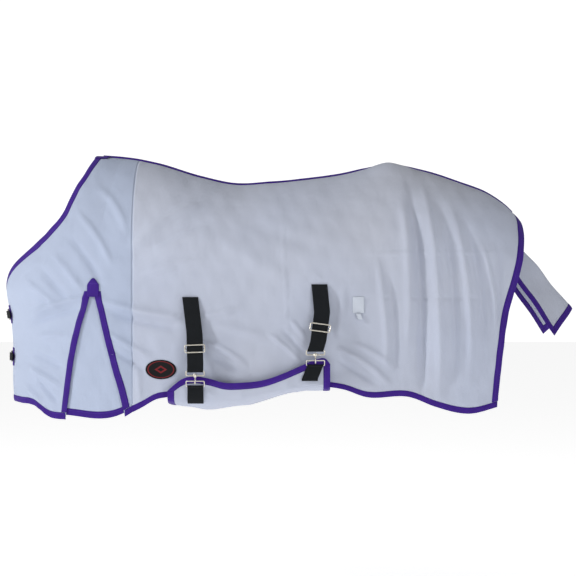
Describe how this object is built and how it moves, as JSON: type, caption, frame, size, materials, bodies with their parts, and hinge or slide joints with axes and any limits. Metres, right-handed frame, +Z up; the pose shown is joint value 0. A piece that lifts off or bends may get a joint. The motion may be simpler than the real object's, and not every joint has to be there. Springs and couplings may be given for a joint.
{
  "type": "fly sheet",
  "caption": "Mesh horse fly sheet shaped to the body, with bound edges, chest straps, belly flap on surcingle clips, tail flap and leg strap loops.",
  "frame": {"origin": "the withers, on the sheet's centre line at the spine seam, at cloth level", "axes": "+X along the back to the tail, +Y to the horse's right (off) side, +Z up"},
  "size_m": [1.9205, 0.6633, 0.8736],
  "materials": {
    "white_mesh": "open mesh cloth, matt",
    "purple_tape": "woven tape, satin",
    "black_webbing": "woven webbing, matt",
    "white_webbing": "woven webbing, matt",
    "nickel": "nickel plate, polished",
    "badge": "moulded badge, matt"
  },
  "bodies": {
    "rug": {"badge": "badge", "body_panel_left": "white_mesh", "body_panel_right": "white_mesh", "chest_buckle_lower": "nickel", "chest_buckle_upper": "nickel", "chest_chape_lower": "black_webbing", "chest_chape_upper": "black_webbing", "chest_hem_binding_left": "purple_tape", "chest_hem_binding_right": "purple_tape", "chest_patch_lower_left": "purple_tape", "chest_patch_lower_right": "purple_tape", "chest_patch_upper_left": "purple_tape", "chest_patch_upper_right": "purple_tape", "chest_strap_lower": "black_webbing", "chest_strap_upper": "black_webbing", "gusset_binding_front_left": "purple_tape", "gusset_binding_front_right": "purple_tape", "gusset_binding_rear_left": "purple_tape", "gusset_binding_rear_right": "purple_tape", "gusset_cap_left": "purple_tape", "gusset_cap_right": "purple_tape", "gusset_hem_binding_left": "purple_tape", "gusset_hem_binding_right": "purple_tape", "hem_binding_left": "purple_tape", "hem_binding_right": "purple_tape", "leg_loop_left": "white_webbing", "leg_loop_right": "white_webbing", "loop_patch_left": "white_webbing", "loop_patch_right": "white_webbing", "neck_binding_left": "purple_tape", "neck_binding_right": "purple_tape", "rear_binding_left": "purple_tape", "rear_binding_right": "purple_tape", "shoulder_gusset_left": "white_mesh", "shoulder_gusset_right": "white_mesh", "shoulder_panel_left": "white_mesh", "shoulder_panel_right": "white_mesh", "spine_binding": "purple_tape", "surcingle_strap_front": "black_webbing", "surcingle_strap_rear": "black_webbing", "wither_patch": "purple_tape"},
    "belly_flap": {"belly_flap": "white_mesh", "belly_flap_binding": "purple_tape", "belly_tab_front": "black_webbing", "belly_tab_rear": "black_webbing"},
    "tail_flap": {"tail_flap": "white_mesh", "tail_flap_binding": "purple_tape"},
    "keeper_ring_front": {"keeper_ring_front": "nickel"},
    "clip_eye_front": {"clip_eye_front": "nickel"},
    "clip_hook_front": {"clip_hook_front": "nickel"},
    "clip_gate_front": {"clip_gate_front": "nickel"},
    "slide_front": {"slide_front": "nickel"},
    "keeper_ring_rear": {"keeper_ring_rear": "nickel"},
    "clip_eye_rear": {"clip_eye_rear": "nickel"},
    "clip_hook_rear": {"clip_hook_rear": "nickel"},
    "clip_gate_rear": {"clip_gate_rear": "nickel"},
    "slide_rear": {"slide_rear": "nickel"},
    "chest_prong_upper": {"chest_prong_upper": "nickel"},
    "chest_prong_lower": {"chest_prong_lower": "nickel"}
  },
  "joints": [
    {"name": "belly_flap_seam", "type": "hinge", "parent": "rug", "child": "belly_flap", "pos_m": [0.4938, 0.29732, -0.77571], "axis": [0.998, 0, 0.0631], "range_deg": [0, 75]},
    {"name": "tail_flap_seam", "type": "hinge", "parent": "rug", "child": "tail_flap", "pos_m": [1.35, 0, -0.238], "axis": [0, 1, 0], "range_deg": [-45, 0]},
    {"name": "keeper_ring_front_swing", "type": "hinge", "parent": "belly_flap", "child": "keeper_ring_front", "pos_m": [0.3245, -0.32299, -0.75493], "axis": [1, 0, 0], "range_deg": [-6, 6]},
    {"name": "clip_eye_front_swing", "type": "hinge", "parent": "rug", "child": "clip_eye_front", "pos_m": [0.3245, -0.33378, -0.7055], "axis": [1, 0, 0], "range_deg": [-3, 3]},
    {"name": "clip_hook_front_swivel", "type": "hinge", "parent": "clip_eye_front", "child": "clip_hook_front", "pos_m": [0.3245, -0.33378, -0.7055], "axis": [0, 0, 1], "range_deg": [-12, 12]},
    {"name": "clip_gate_front_pivot", "type": "hinge", "parent": "clip_hook_front", "child": "clip_gate_front", "pos_m": [0.3245, -0.33738, -0.7301], "axis": [1, 0, 0], "range_deg": [0, 25], "stiffness_Nm_per_rad": 0.01, "springref_deg": -20.05},
    {"name": "slide_front_travel", "type": "slide", "parent": "rug", "child": "slide_front", "axis": [-0.0329, 0.1586, 0.9868], "range_m": [-0.025, 0.025]},
    {"name": "keeper_ring_rear_swing", "type": "hinge", "parent": "belly_flap", "child": "keeper_ring_rear", "pos_m": [0.706, -0.32966, -0.68811], "axis": [1, 0, 0], "range_deg": [-6, 6]},
    {"name": "clip_eye_rear_swing", "type": "hinge", "parent": "rug", "child": "clip_eye_rear", "pos_m": [0.706, -0.34168, -0.6395], "axis": [1, 0, 0], "range_deg": [-3, 3]},
    {"name": "clip_hook_rear_swivel", "type": "hinge", "parent": "clip_eye_rear", "child": "clip_hook_rear", "pos_m": [0.706, -0.34168, -0.6395], "axis": [0, 0, 1], "range_deg": [-12, 12]},
    {"name": "clip_gate_rear_pivot", "type": "hinge", "parent": "clip_hook_rear", "child": "clip_gate_rear", "pos_m": [0.706, -0.34528, -0.6641], "axis": [1, 0, 0], "range_deg": [0, 25], "stiffness_Nm_per_rad": 0.01, "springref_deg": -20.05},
    {"name": "slide_rear_travel", "type": "slide", "parent": "rug", "child": "slide_rear", "axis": [0.1326, 0.1718, 0.9762], "range_m": [-0.025, 0.025]},
    {"name": "chest_prong_upper_pivot", "type": "hinge", "parent": "rug", "child": "chest_prong_upper", "pos_m": [-0.32268, -0.03613, -0.53107], "axis": [-0.154, -0.0026, 0.9881], "range_deg": [0, 25]},
    {"name": "chest_prong_lower_pivot", "type": "hinge", "parent": "rug", "child": "chest_prong_lower", "pos_m": [-0.31329, -0.03573, -0.67194], "axis": [0.009, -0.0028, 1], "range_deg": [0, 25]}
  ]
}
